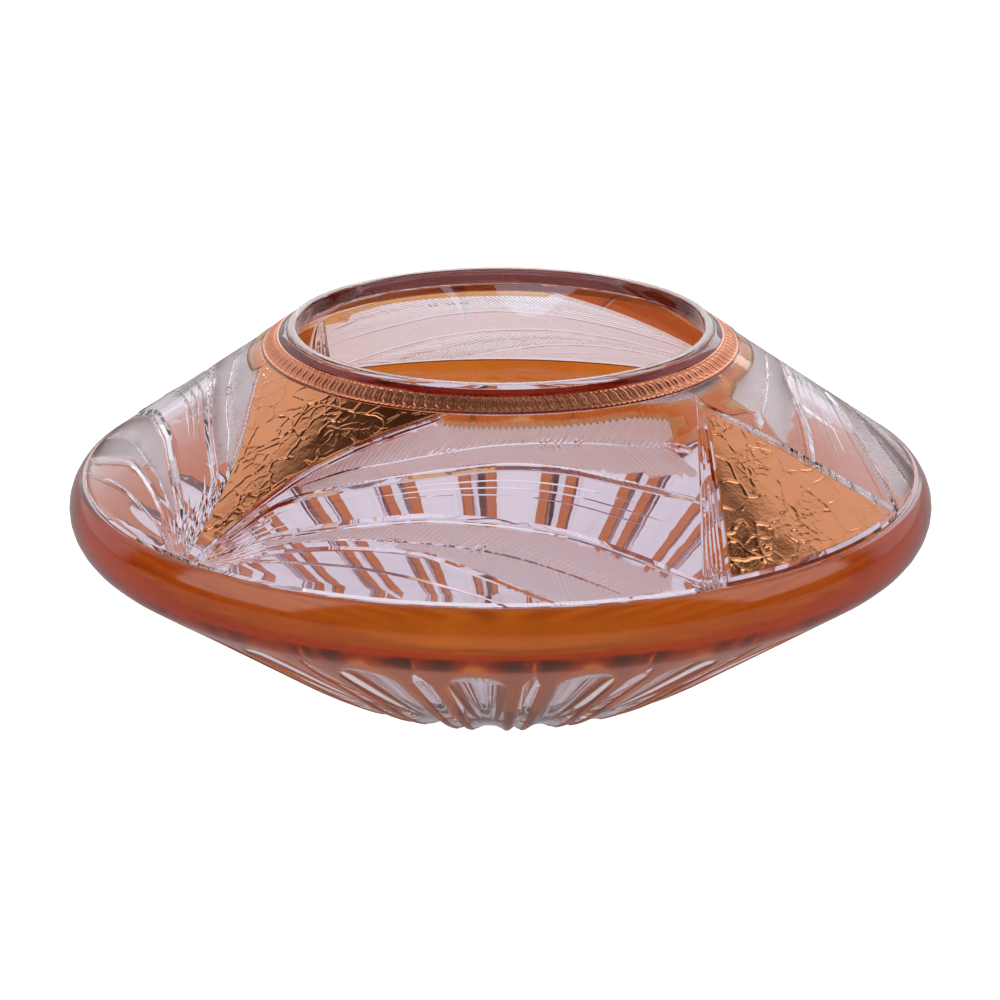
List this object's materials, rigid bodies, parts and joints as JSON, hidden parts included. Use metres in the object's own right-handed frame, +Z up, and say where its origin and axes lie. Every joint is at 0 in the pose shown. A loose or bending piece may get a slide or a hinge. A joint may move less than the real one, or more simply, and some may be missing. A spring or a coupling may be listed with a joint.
{
  "type": "cut glass bowl",
  "caption": "Low wide-shouldered rose bowl in clear crystal with amber casing, fluted belly, fern-cut shoulder and gilded panels.",
  "frame": {"origin": "centre of the foot, on the surface that the bowl stands on", "axes": "+Z up through the centre of the mouth; -Y towards the front, between the first fan panel and the first wedge panel"},
  "size_m": [0.2996, 0.2998, 0.13],
  "materials": {
    "crystal": "polished, cut",
    "amber_glass": "polished",
    "gilding": "fired gold over etched relief"
  },
  "bodies": {
    "root": {"crystal_shoulder": "crystal", "crystal_belly": "crystal", "crystal_foot": "crystal", "amber_girdle_casing": "amber_glass", "amber_rim_casing": "amber_glass", "amber_fan_bed_1": "amber_glass", "amber_fan_bed_2": "amber_glass", "amber_wedge_bed_1": "amber_glass", "amber_wedge_bed_2": "amber_glass", "amber_field_1": "amber_glass", "amber_field_2": "amber_glass", "amber_field_3": "amber_glass", "amber_field_4": "amber_glass", "gilt_frieze_band": "gilding", "gilt_fan_panel_1": "gilding", "gilt_fan_panel_2": "gilding", "gilt_wedge_panel_1": "gilding", "gilt_wedge_panel_2": "gilding"}
  },
  "joints": []
}
